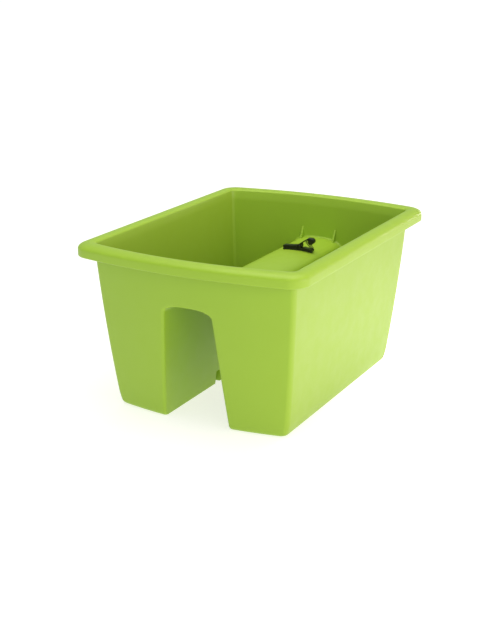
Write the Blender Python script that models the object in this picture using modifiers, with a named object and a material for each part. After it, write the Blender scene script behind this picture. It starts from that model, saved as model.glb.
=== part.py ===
"""Self-watering saddle planter for a balcony rail.

A one-piece moulded pot straddles the rail with two hollow legs. Each leg holds a lift-out
reservoir floor with two wicking baskets, a filler tube with a float gauge and a cap, and a
push-in drain plug. A small spring clip lies on the hump between the legs.

Metres. X runs across the rail channel, Y along it, Z up from the feet.
"""
import math

import bmesh
import bpy
from mathutils import Matrix, Vector

# Driving dimensions of the pot
HEIGHT = 0.200
WALL = 0.003
GAP = 0.0003
HALF_X_FOOT = 0.1103
HALF_X_GROWTH = 0.0171
HALF_X_BULGE = 0.0076
HALF_Y_FOOT = 0.1425
HALF_Y_GROWTH = 0.0194
HALF_Y_BULGE = 0.0047
BOW_FOOT = 0.0117
BOW_TOP = 0.0159
HEEL_TUCK = 0.0024
HEEL_HEIGHT = 0.0205
CORNER_RADIUS = 0.007
FOOT_ROUND_OUTER = 0.006
FOOT_ROUND_CHANNEL = 0.002

# Rail channel under the pot
CHANNEL_HALF_FOOT = 0.0414
CHANNEL_TAPER = 0.0865
CHANNEL_SPRING_HEIGHT = 0.1315
CHANNEL_CROWN = 0.0108
CHANNEL_SQUARENESS = 2.75
MOUTH_ROUND_SIDE = 0.0042
MOUTH_ROUND_TOP = 0.0025
SHOULDER_HEIGHT = 0.150
NICHE_Y = 0.030
NICHE_HALF_LENGTH = 0.006
NICHE_HEIGHT = 0.0165
NICHE_DEPTH = 0.0062
NICHE_SLOPE = 0.0008

# Ribs between the hump and the end walls
GUSSET_X = 0.0233
GUSSET_THICKNESS = 0.0028
GUSSET_REACH = 0.0085
GUSSET_FOOT_Z = 0.139
GUSSET_TOP_Z = 0.158

# Rim
RIM_HALF_X = 0.1253
RIM_HALF_Y = 0.1605
RIM_BOW = 0.0158
RIM_CORNER = 0.008
RIM_CREST = 0.0075
RIM_LIP = 0.0185
RIM_DROP = 0.0065
RIM_LIP_BOTTOM = 0.1852

# Reservoir inserts
LEG_CENTRE_X = 0.0765
DECK_Z = 0.050
DECK_THICKNESS = 0.0025
DECK_CLEARANCE = 0.001
POST_RADIUS = 0.0035
POST_X = (0.052, 0.099)
POST_Y = (-0.100, 0.126)
BASKET_Y = (-0.060, 0.080)
BASKET_TOP_RADIUS = 0.021
BASKET_FOOT_RADIUS = 0.015
BASKET_FOOT_Z = 0.006
BASKET_WALL = 0.0018
SLOT_Y = (-0.022, -0.010, 0.002, 0.014, 0.026, 0.038, 0.114, 0.124)
SLOT_LENGTH = 0.040
SLOT_WIDTH = 0.004
TUBE_X = 0.084
TUBE_Y = -0.124
TUBE_RADIUS = 0.013
TUBE_BORE = 0.0115
TUBE_FOOT_Z = 0.007
TUBE_TOP_Z = 0.164
TUBE_MOUTH_RADIUS = 0.015
FLOAT_RADIUS = 0.010
FLOAT_FOOT_Z = 0.0045
FLOAT_HEIGHT = 0.022
ROD_RADIUS = 0.0015
CAP_TOP_Z = 0.167
DRAIN_Z = 0.0085
DRAIN_RADIUS = 0.0033
DRAIN_FLANGE = 0.0046
OVERFLOW_Y = 0.060
OVERFLOW_Z = 0.046
OVERFLOW_RADIUS = 0.0035

# Spring clip lying on the hump
CLIP_PIVOT = Vector((0.0066, 0.1003, 0.1514))
CLIP_YAW = math.radians(5)
CLIP_RISE = math.radians(33.8)
CLIP_JAW = 0.0223
CLIP_HALF_WIDTH = 0.004
PIN_RADIUS = 0.001
KNUCKLE_RADIUS = 0.0022
EAR_RADIUS = 0.0026
EAR_Y = 0.0033
EAR_HALF = 0.0007
GRIP_X = 0.0148
GRIP_Z = 0.0070
GRIP_RADIUS = 0.0036
WIRE_RADIUS = 0.0005

ROUND_SEGMENTS = 24


# ------------------------------------------------------------------ scene helpers
def clear_scene():
    for obj in list(bpy.data.objects):
        bpy.data.objects.remove(obj, do_unlink=True)


def make_collection(name):
    collection = bpy.data.collections.new(name)
    bpy.context.scene.collection.children.link(collection)
    return collection


def material(name, colour, roughness, metallic=0.0):
    mat = bpy.data.materials.new(name)
    mat.use_nodes = True
    shader = mat.node_tree.nodes["Principled BSDF"]
    shader.inputs["Base Color"].default_value = (*colour, 1.0)
    shader.inputs["Roughness"].default_value = roughness
    shader.inputs["Metallic"].default_value = metallic
    return mat


def object_from_bmesh(name, bm, mat, collection):
    mesh = bpy.data.meshes.new(name)
    bm.to_mesh(mesh)
    bm.free()
    obj = bpy.data.objects.new(name, mesh)
    collection.objects.link(obj)
    if mat:
        mesh.materials.append(mat)
    return obj


def smooth(obj, angle=35):
    obj.data.shade_smooth()
    obj.data.set_sharp_from_angle(angle=math.radians(angle))


def cutter_box(name, centre, size, collection, turn=0.0):
    bm = bmesh.new()
    bmesh.ops.create_cube(bm, size=1.0)
    bmesh.ops.scale(bm, vec=size, verts=bm.verts)
    bmesh.ops.rotate(bm, cent=(0, 0, 0), matrix=Matrix.Rotation(turn, 3, "Z"), verts=bm.verts)
    bmesh.ops.translate(bm, vec=centre, verts=bm.verts)
    return as_cutter(object_from_bmesh(name, bm, None, collection))


def cutter_cylinder(name, centre, radius, length, axis, collection):
    bm = bmesh.new()
    bmesh.ops.create_cone(bm, cap_ends=True, segments=16, radius1=radius, radius2=radius, depth=length)
    turn = Vector((0, 0, 1)).rotation_difference(Vector(axis)).to_matrix()
    bmesh.ops.rotate(bm, cent=(0, 0, 0), matrix=turn, verts=bm.verts)
    bmesh.ops.translate(bm, vec=centre, verts=bm.verts)
    return as_cutter(object_from_bmesh(name, bm, None, collection))


def as_cutter(obj):
    obj.hide_render = True
    obj.display_type = "WIRE"
    return obj


def combine(obj, other, operation):
    mod = obj.modifiers.new(f"{operation.lower()}_{other.name}", "BOOLEAN")
    mod.operation = operation
    mod.solver = "EXACT"
    mod.object = other


def turned(name, profile, centre, mat, collection, segments=ROUND_SEGMENTS):
    """Closed profile of (radius, z) points, spun around a vertical axis through centre."""
    bm = bmesh.new()
    verts = [bm.verts.new((r, 0, z)) for r, z in profile]
    for first, second in zip(verts, verts[1:]):
        bm.edges.new((first, second))
    if profile[0][0] > 0 and profile[-1][0] > 0:
        bm.edges.new((verts[-1], verts[0]))
    obj = object_from_bmesh(name, bm, mat, collection)
    screw = obj.modifiers.new("spin", "SCREW")
    screw.steps = segments
    screw.render_steps = segments
    screw.use_merge_vertices = True
    screw.merge_threshold = 0.00001
    obj.location = centre
    return obj


def extruded(name, outline, half_width, mat, collection):
    """Closed (x, z) outline, extruded along Y from -half_width to +half_width."""
    bm = bmesh.new()
    near = [bm.verts.new((x, -half_width, z)) for x, z in outline]
    face = bm.faces.new(near)
    far = bmesh.ops.extrude_face_region(bm, geom=[face])["geom"]
    moved = [item for item in far if isinstance(item, bmesh.types.BMVert)]
    bmesh.ops.translate(bm, vec=(0, 2 * half_width, 0), verts=moved)
    bmesh.ops.recalc_face_normals(bm, faces=bm.faces)
    return object_from_bmesh(name, bm, mat, collection)


# ------------------------------------------------------------------ pot: wall formulas
def half_x(z):
    t = z / HEIGHT
    heel = max(0.0, 1.0 - z / HEEL_HEIGHT)
    return HALF_X_FOOT + HALF_X_GROWTH * t + HALF_X_BULGE * t * (1 - t) - HEEL_TUCK * heel ** 2


def half_y(z):
    t = z / HEIGHT
    return HALF_Y_FOOT + HALF_Y_GROWTH * t + HALF_Y_BULGE * t * (1 - t)


def bow(z):
    return BOW_FOOT + (BOW_TOP - BOW_FOOT) * z / HEIGHT


def channel_half(z):
    return CHANNEL_HALF_FOOT - CHANNEL_TAPER * z


def round_inset(z, floor, radius):
    """How far a foot edge of the given radius pulls in at height z."""
    below = max(0.0, floor + radius - z)
    return radius - math.sqrt(max(0.0, radius ** 2 - below ** 2))


class Section:
    """A horizontal outline: straight long sides, bowed ends and rounded corners."""

    def __init__(self, a, b, s, corner):
        self.a, self.b, self.s, self.corner = a, b, s, corner
        self.bend_x = a - corner
        for _ in range(4):
            slope = 2 * s * self.bend_x / a ** 2
            self.turn = math.atan(slope)
            self.bend_x = a - corner * (1 - math.sin(self.turn))

    def end_y(self, x):
        return self.b + self.s * (1 - (x / self.a) ** 2)

    def strip(self, start_x, end_steps, corner_steps, side_steps):
        """Right-hand part of the outline, front to back, from x = start_x."""
        front = [(x, -self.end_y(x)) for x in spread(start_x, self.bend_x, end_steps)]
        cx = self.bend_x - self.corner * math.sin(self.turn)
        cy = self.end_y(self.bend_x) - self.corner * math.cos(self.turn)
        for step in range(1, corner_steps + 1):
            angle = self.turn + (math.pi / 2 - self.turn) * step / corner_steps
            front.append((cx + self.corner * math.sin(angle), -cy - self.corner * math.cos(angle)))
        side = [(self.a, y) for y in spread(-cy, cy, side_steps)][1:-1]
        return front + side + [(x, -y) for x, y in reversed(front)]


def spread(first, last, steps):
    return [first + (last - first) * i / steps for i in range(steps + 1)]


class Skin:
    """One face of the pot's wall, offset inwards, shaped like a pair of trousers."""

    END_STEPS, CORNER_STEPS, SIDE_STEPS = 4, 4, 2
    ARCH_STEPS, MOUTH_STEPS = 12, 3

    def __init__(self, offset, floor, foot_outer, foot_channel, corner, niche_extra):
        self.offset, self.floor = offset, floor
        self.foot_outer, self.foot_channel = foot_outer, foot_channel
        self.corner, self.niche_extra = corner, niche_extra
        self.spring = CHANNEL_SPRING_HEIGHT
        self.crown = CHANNEL_CROWN + offset
        self.shoulder = SHOULDER_HEIGHT + offset

    def section(self, z):
        inset = self.offset + round_inset(z, self.floor, self.foot_outer)
        return Section(half_x(z) - inset, half_y(z) - inset, bow(z), self.corner)

    def channel(self, z):
        return channel_half(z) + self.offset + round_inset(z, self.floor, self.foot_channel)

    def leg_rows(self):
        foot = [self.floor + self.foot_outer * (1 - math.cos(math.pi / 2 * i / 3)) for i in range(4)]
        niche_top = NICHE_HEIGHT + self.niche_extra
        walls = [niche_top, niche_top + NICHE_SLOPE, 0.045, 0.075, 0.100, self.spring]
        return foot + walls

    def outline(self):
        """Channel outline and outward normals, left foot to crown to right foot."""
        rows = self.leg_rows()
        power = 2 / CHANNEL_SQUARENESS
        arch = []
        for step in range(1, self.ARCH_STEPS):
            angle = math.pi * step / self.ARCH_STEPS
            side = math.copysign(abs(math.cos(angle)) ** power, math.cos(angle))
            z = self.spring + self.crown * math.sin(angle) ** power
            arch.append((-self.channel(z) * side, z))
        points = [(-self.channel(z), z) for z in rows] + arch
        points += [(self.channel(z), z) for z in reversed(rows)]
        first, last = len(rows) - 1, len(points) - len(rows)
        normals = []
        for i, (x, z) in enumerate(points):
            if i <= first or i >= last:
                normals.append((math.copysign(1, x), 0.0))
                continue
            dx = points[i + 1][0] - points[i - 1][0]
            dz = points[i + 1][1] - points[i - 1][1]
            length = math.hypot(dx, dz)
            normals.append((-dz / length, dx / length))
        return points, normals

    def niche(self, y, z):
        """Depth of the two small niches low in the channel wall."""
        reach = NICHE_HALF_LENGTH + self.niche_extra + NICHE_SLOPE - abs(abs(y) - NICHE_Y)
        rise = NICHE_HEIGHT + self.niche_extra + NICHE_SLOPE - z
        along = min(1.0, max(0.0, reach / NICHE_SLOPE))
        return NICHE_DEPTH * along * min(1.0, max(0.0, rise / NICHE_SLOPE))

    def tunnel_row(self, x, z, nx, nz):
        """Points along the channel at one outline point, front mouth to back mouth."""
        mouth = MOUTH_ROUND_SIDE * nx ** 2 + MOUTH_ROUND_TOP * nz ** 2
        front = []
        for step in range(self.MOUTH_STEPS + 1):
            angle = math.pi / 2 * step / self.MOUTH_STEPS
            reach = mouth * (1 - math.sin(angle))
            px, pz = x + nx * reach, z + nz * reach
            y = self.section(pz).end_y(px) - mouth * (1 - math.cos(angle))
            front.append((px, -y, pz))
        inner = NICHE_HALF_LENGTH + self.niche_extra
        outer = inner + NICHE_SLOPE
        stops = [NICHE_Y - outer, NICHE_Y - inner, NICHE_Y + inner, NICHE_Y + outer]
        middle = []
        for y in [-stop for stop in reversed(stops)] + stops:
            middle.append((x + math.copysign(self.niche(y, z), x), y, z))
        return front + middle + [(px, -y, pz) for px, y, pz in reversed(front)]

    def patches(self):
        """Grids of points that make up the skin, and its two foot loops."""
        steps = (self.END_STEPS, self.CORNER_STEPS, self.SIDE_STEPS)
        rows = self.leg_rows()
        points, normals = self.outline()
        tunnel = [self.tunnel_row(*p, *n) for p, n in zip(points, normals)]
        legs = []
        for z in rows:
            strip = self.section(z).strip(self.channel(z) + MOUTH_ROUND_SIDE, *steps)
            legs.append([(x, y, z) for x, y in strip])
        first, last = len(rows) - 1, len(points) - len(rows)
        arch = [(row[0][0], row[0][2]) for row in tunnel[first:last + 1]]
        width = arch[-1][0]
        top = [(x, self.shoulder) for x in spread(-width, width, len(arch) - 1)]
        fronts, shoulders = [], []
        for level in range(4):
            share = level / 3
            line = [blend_points(a, t, share) for a, t in zip(arch, top)]
            fronts.append([(x, -self.section(z).end_y(x), z) for x, z in line])
            x, z = line[-1]
            shoulders.append([(px, py, z) for px, py in self.section(z).strip(x, *steps)])
        grids = [tunnel]
        for grid in (legs, shoulders, fronts):
            grids.append(grid)
            grids.append([[(-x, -y, z) for x, y, z in row] for row in grid])
        foot = legs[0] + list(reversed(tunnel[-1]))
        return grids, [foot, [(-x, -y, z) for x, y, z in foot]], [x for x, _ in top]


def blend_points(first, second, share):
    return tuple(a + (b - a) * share for a, b in zip(first, second))


def full_ring(section, z, across, steps):
    """Closed outline at height z; across holds the x positions over the channel."""
    bridge = [(x, -section.end_y(x)) for x in across[:-1]]
    half = bridge + section.strip(across[-1], *steps)[:-1]
    return [(x, y, z) for x, y in half] + [(-x, -y, z) for x, y in half]


def rim_section(out):
    return Section(RIM_HALF_X + out, RIM_HALF_Y + out, RIM_BOW, RIM_CORNER + 0.82 * max(out, 0.0))


def quarter(cx, cz, rx, rz, start, stop, steps):
    """Elliptic arc as (out, z) points; angle 0 is straight up, 90 straight out."""
    points = []
    for step in range(steps + 1):
        angle = math.radians(start + (stop - start) * step / steps)
        points.append((cx + rx * math.sin(angle), cz + rz * math.cos(angle)))
    return points


def rim_profile():
    """Rim cross-section, from the outer wall round the hanging lip to the inner wall."""
    crest_z = HEIGHT - RIM_DROP
    lip_half = WALL / 2
    lip_foot = RIM_LIP_BOTTOM + lip_half
    under = quarter(RIM_CREST, crest_z - WALL, RIM_LIP - WALL - RIM_CREST, RIM_DROP, 0, 90, 4)
    foot = quarter(RIM_LIP - lip_half, lip_foot, lip_half, lip_half, 270, 90, 4)
    over = quarter(RIM_CREST, crest_z, RIM_LIP - RIM_CREST, RIM_DROP, 90, 0, 5)
    inner = quarter(RIM_CREST, crest_z + 0.0035, RIM_CREST, RIM_DROP - 0.0035, 0, -90, 4)[1:]
    return [(0.0035, HEIGHT - WALL)] + under + foot + over + inner


def add_grid(bm, rows, flip):
    verts = [[bm.verts.new(p) for p in row] for row in rows]
    for low, high in zip(verts, verts[1:]):
        for i in range(len(low) - 1):
            face = [low[i], low[i + 1], high[i + 1], high[i]]
            bm.faces.new(reversed(face) if flip else face)


def add_skin(bm, skin, flip):
    """Add one skin below its shoulder; returns its x positions over the channel."""
    grids, feet, across = skin.patches()
    for rows in grids:
        add_grid(bm, rows, flip)
    for loop in feet:
        distinct = [p for i, p in enumerate(loop) if (Vector(p) - Vector(loop[i - 1])).length > 1e-6]
        bm.faces.new([bm.verts.new(p) for p in distinct])
    return across


def inner_skin(clearance=0.0):
    """The wall's inner face, or an outline that keeps a clearance inside it."""
    return Skin(WALL + clearance, WALL, 0.004, 0.002, CORNER_RADIUS - 0.002, WALL)


def pot_mesh():
    bm = bmesh.new()
    outer = Skin(0.0, 0.0, FOOT_ROUND_OUTER, FOOT_ROUND_CHANNEL, CORNER_RADIUS, 0.0)
    inner = inner_skin()
    steps = (Skin.END_STEPS, Skin.CORNER_STEPS, Skin.SIDE_STEPS)
    outer_across = add_skin(bm, outer, False)
    inner_across = add_skin(bm, inner, True)
    rings = []
    for z in (SHOULDER_HEIGHT, 0.172, HEIGHT - WALL - 0.002):
        rings.append(full_ring(outer.section(z), z, outer_across, steps))
    for out, z in rim_profile():
        rings.append(full_ring(rim_section(out), z, outer_across, steps))
    for z in (0.186, 0.170, SHOULDER_HEIGHT + WALL):
        rings.append(full_ring(inner.section(z), z, inner_across, steps))
    add_grid(bm, [ring + ring[:1] for ring in rings], False)
    bmesh.ops.remove_doubles(bm, verts=bm.verts, dist=0.00001)
    bmesh.ops.dissolve_degenerate(bm, edges=bm.edges, dist=0.000001)
    bmesh.ops.recalc_face_normals(bm, faces=bm.faces)
    return bm


def gusset(name, side, end, skin, collection):
    """Triangular rib on the hump that props the end wall of the pot."""
    x = side * GUSSET_X
    foot_y, top_y = (skin.section(z).end_y(x) for z in (GUSSET_FOOT_Z, GUSSET_TOP_Z))
    buried = WALL / 2
    outline = [
        (foot_y - GUSSET_REACH, GUSSET_FOOT_Z),
        (foot_y + buried, GUSSET_FOOT_Z),
        (top_y + buried, GUSSET_TOP_Z),
        (top_y - 0.001, GUSSET_TOP_Z),
    ]
    bm = bmesh.new()
    near = [bm.verts.new((x - GUSSET_THICKNESS / 2, end * y, z)) for y, z in outline]
    face = bm.faces.new(near)
    far = bmesh.ops.extrude_face_region(bm, geom=[face])["geom"]
    moved = [item for item in far if isinstance(item, bmesh.types.BMVert)]
    bmesh.ops.translate(bm, vec=(GUSSET_THICKNESS, 0, 0), verts=moved)
    bmesh.ops.recalc_face_normals(bm, faces=bm.faces)
    return as_cutter(object_from_bmesh(name, bm, None, collection))


def make_pot(parts, cutters, mat):
    pot = object_from_bmesh("planter_pot", pot_mesh(), mat, parts)
    for side in (-1, 1):
        for end in (-1, 1):
            combine(pot, gusset(f"gusset_{side}_{end}", side, end, inner_skin(), cutters), "UNION")
        centre = (side * (CHANNEL_HALF_FOOT + NICHE_DEPTH), NICHE_Y, DRAIN_Z)
        drain = cutter_cylinder(f"drain_hole_{side}", centre, DRAIN_RADIUS, 0.016, (1, 0, 0), cutters)
        combine(pot, drain, "DIFFERENCE")
        centre = (side * (channel_half(OVERFLOW_Z) + WALL / 2), OVERFLOW_Y, OVERFLOW_Z)
        overflow = cutter_cylinder(f"overflow_{side}", centre, OVERFLOW_RADIUS, 0.012, (1, 0, 0), cutters)
        combine(pot, overflow, "DIFFERENCE")
    smooth(pot)


# ------------------------------------------------------------------ reservoir inserts
def make_deck(name, side, parts, cutters, mat):
    """Slotted floor that stands over the water on four posts."""
    fit = inner_skin(DECK_CLEARANCE)
    section = fit.section(DECK_Z)
    near_x = fit.channel(DECK_Z)
    outline = section.strip(near_x + MOUTH_ROUND_SIDE, 4, 4, 2)
    near_y = outline[-1][1] - MOUTH_ROUND_SIDE
    outline = [(near_x, -near_y)] + outline + [(near_x, near_y)]
    bm = bmesh.new()
    face = bm.faces.new([bm.verts.new((side * x, y, DECK_Z)) for x, y in outline])
    top = bmesh.ops.extrude_face_region(bm, geom=[face])["geom"]
    moved = [item for item in top if isinstance(item, bmesh.types.BMVert)]
    bmesh.ops.translate(bm, vec=(0, 0, DECK_THICKNESS), verts=moved)
    bmesh.ops.recalc_face_normals(bm, faces=bm.faces)
    deck = object_from_bmesh(name, bm, mat, parts)
    height = DECK_Z - WALL - GAP + DECK_THICKNESS / 2
    for i, x in enumerate(POST_X):
        for j, y in enumerate(POST_Y):
            centre = (side * x, y, WALL + GAP + height / 2)
            post = cutter_cylinder(f"{name}_post_{i}{j}", centre, POST_RADIUS, height, (0, 0, 1), cutters)
            combine(deck, post, "UNION")
    for i, y in enumerate(SLOT_Y):
        size = (SLOT_LENGTH, SLOT_WIDTH, 4 * DECK_THICKNESS)
        slot = cutter_box(f"{name}_slot_{i}", (side * LEG_CENTRE_X, y, DECK_Z), size, cutters)
        combine(deck, slot, "DIFFERENCE")
    holes = [(LEG_CENTRE_X, y, BASKET_TOP_RADIUS) for y in BASKET_Y] + [(TUBE_X, TUBE_Y, TUBE_RADIUS)]
    for i, (x, y, radius) in enumerate(holes):
        centre = (side * x, y, DECK_Z)
        hole = cutter_cylinder(f"{name}_hole_{i}", centre, radius + 2 * GAP, 0.02, (0, 0, 1), cutters)
        combine(deck, hole, "DIFFERENCE")


def make_basket(name, side, y, parts, cutters, mat):
    """Wicking basket: a slotted cup that carries soil down into the water."""
    top = DECK_Z + DECK_THICKNESS
    flange_z = top + GAP
    profile = [
        (0, BASKET_FOOT_Z),
        (BASKET_FOOT_RADIUS, BASKET_FOOT_Z),
        (BASKET_TOP_RADIUS, flange_z),
        (BASKET_TOP_RADIUS + 0.004, flange_z),
        (BASKET_TOP_RADIUS + 0.004, flange_z + BASKET_WALL),
        (BASKET_TOP_RADIUS - BASKET_WALL, flange_z + BASKET_WALL),
        (BASKET_FOOT_RADIUS - BASKET_WALL, BASKET_FOOT_Z + BASKET_WALL),
        (0, BASKET_FOOT_Z + BASKET_WALL),
    ]
    basket = turned(name, list(reversed(profile)), (side * LEG_CENTRE_X, y, 0), mat, parts)
    window = 0.026
    for i in range(3):
        centre = (side * LEG_CENTRE_X, y, BASKET_FOOT_Z + 0.006 + window / 2)
        size = (3 * BASKET_TOP_RADIUS, SLOT_WIDTH, window)
        slot = cutter_box(f"{name}_slot_{i}", centre, size, cutters, turn=math.pi / 3 * i)
        combine(basket, slot, "DIFFERENCE")
    smooth(basket)


def make_tube(name, side, parts, cutters, mat):
    """Filler tube with a flared mouth, hung from the deck by a collar."""
    collar_z = DECK_Z + DECK_THICKNESS + GAP
    flare_z = TUBE_TOP_Z - 0.014
    profile = [
        (TUBE_BORE, TUBE_FOOT_Z),
        (TUBE_RADIUS, TUBE_FOOT_Z),
        (TUBE_RADIUS, collar_z),
        (TUBE_RADIUS + 0.0025, collar_z),
        (TUBE_RADIUS + 0.0025, collar_z + 0.002),
        (TUBE_RADIUS, collar_z + 0.002),
        (TUBE_RADIUS, flare_z),
        (TUBE_MOUTH_RADIUS, flare_z + 0.004),
        (TUBE_MOUTH_RADIUS, TUBE_TOP_Z),
        (TUBE_MOUTH_RADIUS - 0.0015, TUBE_TOP_Z),
        (TUBE_MOUTH_RADIUS - 0.0015, flare_z + 0.004),
        (TUBE_BORE, flare_z),
    ]
    tube = turned(name, list(reversed(profile)), (side * TUBE_X, TUBE_Y, 0), mat, parts)
    size = (4 * TUBE_RADIUS, 0.006, 0.012)
    inlet = cutter_box(f"{name}_inlet", (side * TUBE_X, TUBE_Y, TUBE_FOOT_Z), size, cutters)
    combine(tube, inlet, "DIFFERENCE")
    smooth(tube)


def make_float(name, side, parts, mat):
    """Hollow float with a blind socket for its gauge rod."""
    top = FLOAT_FOOT_Z + FLOAT_HEIGHT
    chamfer = 0.0015
    socket = ROD_RADIUS + GAP
    profile = [
        (0, top - 0.010),
        (socket, top - 0.010),
        (socket, top),
        (FLOAT_RADIUS - chamfer, top),
        (FLOAT_RADIUS, top - chamfer),
        (FLOAT_RADIUS, FLOAT_FOOT_Z + chamfer),
        (FLOAT_RADIUS - chamfer, FLOAT_FOOT_Z),
        (0, FLOAT_FOOT_Z),
    ]
    smooth(turned(name, profile, (side * TUBE_X, TUBE_Y, 0), mat, parts))


def make_rod(name, side, parts, mat):
    """Gauge rod that stands in the float and shows through the cap."""
    foot = FLOAT_FOOT_Z + FLOAT_HEIGHT - 0.010 + GAP
    tip = CAP_TOP_Z - 0.001
    profile = [
        (0, tip),
        (0.0017, tip - 0.0006),
        (0.0024, tip - 0.002),
        (0.0024, tip - 0.010),
        (ROD_RADIUS, tip - 0.012),
        (ROD_RADIUS, foot),
        (0, foot),
    ]
    smooth(turned(name, profile, (side * TUBE_X, TUBE_Y, 0), mat, parts, segments=12))


def make_cap(name, side, parts, mat):
    """Cap over the filler mouth, with a hole for the gauge rod."""
    under = TUBE_TOP_Z + GAP
    skirt_in, skirt_out = TUBE_MOUTH_RADIUS + GAP, TUBE_MOUTH_RADIUS + 0.002
    profile = [
        (0.0032, CAP_TOP_Z),
        (skirt_out - 0.001, CAP_TOP_Z),
        (skirt_out, CAP_TOP_Z - 0.001),
        (skirt_out, TUBE_TOP_Z - 0.006),
        (skirt_in, TUBE_TOP_Z - 0.006),
        (skirt_in, under),
        (0.0032, under),
    ]
    smooth(turned(name, profile, (side * TUBE_X, TUBE_Y, 0), mat, parts))


def make_plug(name, side, parts, mat):
    """Push-in drain plug, seen from the channel as a low disc in its niche."""
    seat = channel_half(DRAIN_Z + DRAIN_FLANGE) + NICHE_DEPTH - GAP
    stem = DRAIN_RADIUS - 2 * GAP
    profile = [
        (0, 0.0020),
        (DRAIN_FLANGE - 0.0012, 0.0020),
        (DRAIN_FLANGE, 0.0012),
        (DRAIN_FLANGE, 0),
        (stem, 0),
        (stem, -0.0060),
        (stem - 0.0010, -0.0075),
        (0, -0.0075),
    ]
    plug = turned(name, profile, (side * seat, NICHE_Y, DRAIN_Z), mat, parts)
    plug.rotation_euler = (0, -side * math.pi / 2, 0)
    smooth(plug)


# ------------------------------------------------------------------ spring clip
def rise_point(distance, height):
    """Point beside the upper handle: distance along it, height above its line."""
    cos, sin = math.cos(CLIP_RISE), math.sin(CLIP_RISE)
    return (distance * cos - height * sin, distance * sin + height * cos)


def cross_cylinder(name, radius, half_length, y, frame, cutters):
    """Cylinder around the pivot axis, centred at y."""
    piece = cutter_cylinder(name, (0, y, 0), radius, 2 * half_length, (0, 1, 0), cutters)
    piece.parent = frame
    return piece


def make_lower_lever(frame, parts, cutters, mat):
    """Jaw and drooping handle that lie on the hump, with two round ears for the pin."""
    outline = [
        (-CLIP_JAW, -0.0065),
        (-0.0156, -0.0058),
        (0.0024, -0.0057),
        (0.0180, -0.0076),
        (0.0184, -0.0058),
        (0.0180, -0.0039),
        (0.0046, -0.0020),
        (0.0030, -0.0026),
        (-0.0030, -0.0032),
        (-CLIP_JAW, -0.0042),
    ]
    lever = extruded("clip_lower_lever", outline, CLIP_HALF_WIDTH, mat, parts)
    lever.parent = frame
    for side in (-1, 1):
        root_size = (0.0040, 2 * EAR_HALF, 0.0034)
        root = cutter_box(f"clip_ear_root_{side}", (0, side * EAR_Y, -0.0021), root_size, cutters)
        root.parent = frame
        combine(lever, root, "UNION")
        ear = cross_cylinder(f"clip_ear_{side}", EAR_RADIUS, EAR_HALF, side * EAR_Y, frame, cutters)
        combine(lever, ear, "UNION")
    hole = cross_cylinder("clip_lower_hole", PIN_RADIUS + GAP, 0.01, 0, frame, cutters)
    combine(lever, hole, "DIFFERENCE")


def make_upper_lever(frame, parts, cutters, mat):
    """Jaw, pivot knuckle and a thin rising handle that ends in a round finger grip."""
    outline = [
        (-CLIP_JAW, -0.0039),
        (-0.0040, -0.0029),
        (-0.0016, -0.0014),
        rise_point(0.0016, 0.0004),
        rise_point(0.0040, 0.0013),
        rise_point(0.0124, 0.0013),
    ]
    for step in range(16):
        angle = math.radians(165 + 19 * step)
        x = GRIP_X + GRIP_RADIUS * math.cos(angle)
        outline.append((x, GRIP_Z + GRIP_RADIUS * math.sin(angle)))
    outline += [
        rise_point(0.0150, 0.0027),
        rise_point(-0.0015, 0.0027),
        (-0.0045, 0.0002),
        (-CLIP_JAW, -0.0012),
    ]
    lever = extruded("clip_upper_lever", outline, CLIP_HALF_WIDTH, mat, parts)
    lever.parent = frame
    knuckle = cross_cylinder("clip_knuckle", KNUCKLE_RADIUS, EAR_Y, 0, frame, cutters)
    combine(lever, knuckle, "UNION")
    for side in (-1, 1):
        y = side * (EAR_Y + GAP)
        name = f"clip_relief_{side}"
        relief = cross_cylinder(name, EAR_RADIUS + 2 * GAP, EAR_HALF + 2 * GAP, y, frame, cutters)
        combine(lever, relief, "DIFFERENCE")
    corners = [rise_point(0.0038, 0), rise_point(0.0082, 0)]
    corners += [rise_point(0.0082, 0.0040), rise_point(0.0038, 0.0040)]
    window = as_cutter(extruded("clip_window", corners, 0.0020, None, cutters))
    window.parent = frame
    combine(lever, window, "DIFFERENCE")
    hole = cross_cylinder("clip_upper_hole", PIN_RADIUS + GAP, 0.01, 0, frame, cutters)
    combine(lever, hole, "DIFFERENCE")


def make_pin(frame, parts, mat):
    """Pivot pin with two domed heads."""
    head_y = CLIP_HALF_WIDTH + GAP
    profile = [
        (0, head_y + 0.0009),
        (0.0012, head_y + 0.0006),
        (0.0018, head_y),
        (PIN_RADIUS, head_y),
    ]
    profile += [(r, -z) for r, z in reversed(profile)]
    pin = turned("clip_pivot_pin", profile, (0, 0, 0), mat, parts, segments=16)
    pin.rotation_euler = (math.pi / 2, 0, 0)
    pin.parent = frame
    smooth(pin)


def make_wire_spring(frame, parts, mat):
    """Zigzag wire of three legs that holds the two handles apart."""
    top_x, top_z, foot_x, foot_z, pitch = 0.0083, 0.0061, 0.0164, -0.00285, 0.0034
    route = [
        (foot_x, -pitch, foot_z),
        (top_x, -pitch, top_z),
        (top_x, 0, top_z),
        (foot_x, 0, foot_z),
        (foot_x, pitch, foot_z),
        (top_x, pitch, top_z),
    ]
    curve = bpy.data.curves.new("clip_spring", "CURVE")
    curve.dimensions = "3D"
    curve.bevel_depth = WIRE_RADIUS
    curve.bevel_resolution = 2
    curve.use_fill_caps = True
    spline = curve.splines.new("POLY")
    spline.points.add(len(route) - 1)
    for point, place_at in zip(spline.points, route):
        point.co = (*place_at, 1)
    spring = bpy.data.objects.new("clip_spring", curve)
    curve.materials.append(mat)
    parts.objects.link(spring)
    spring.parent = frame


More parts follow.
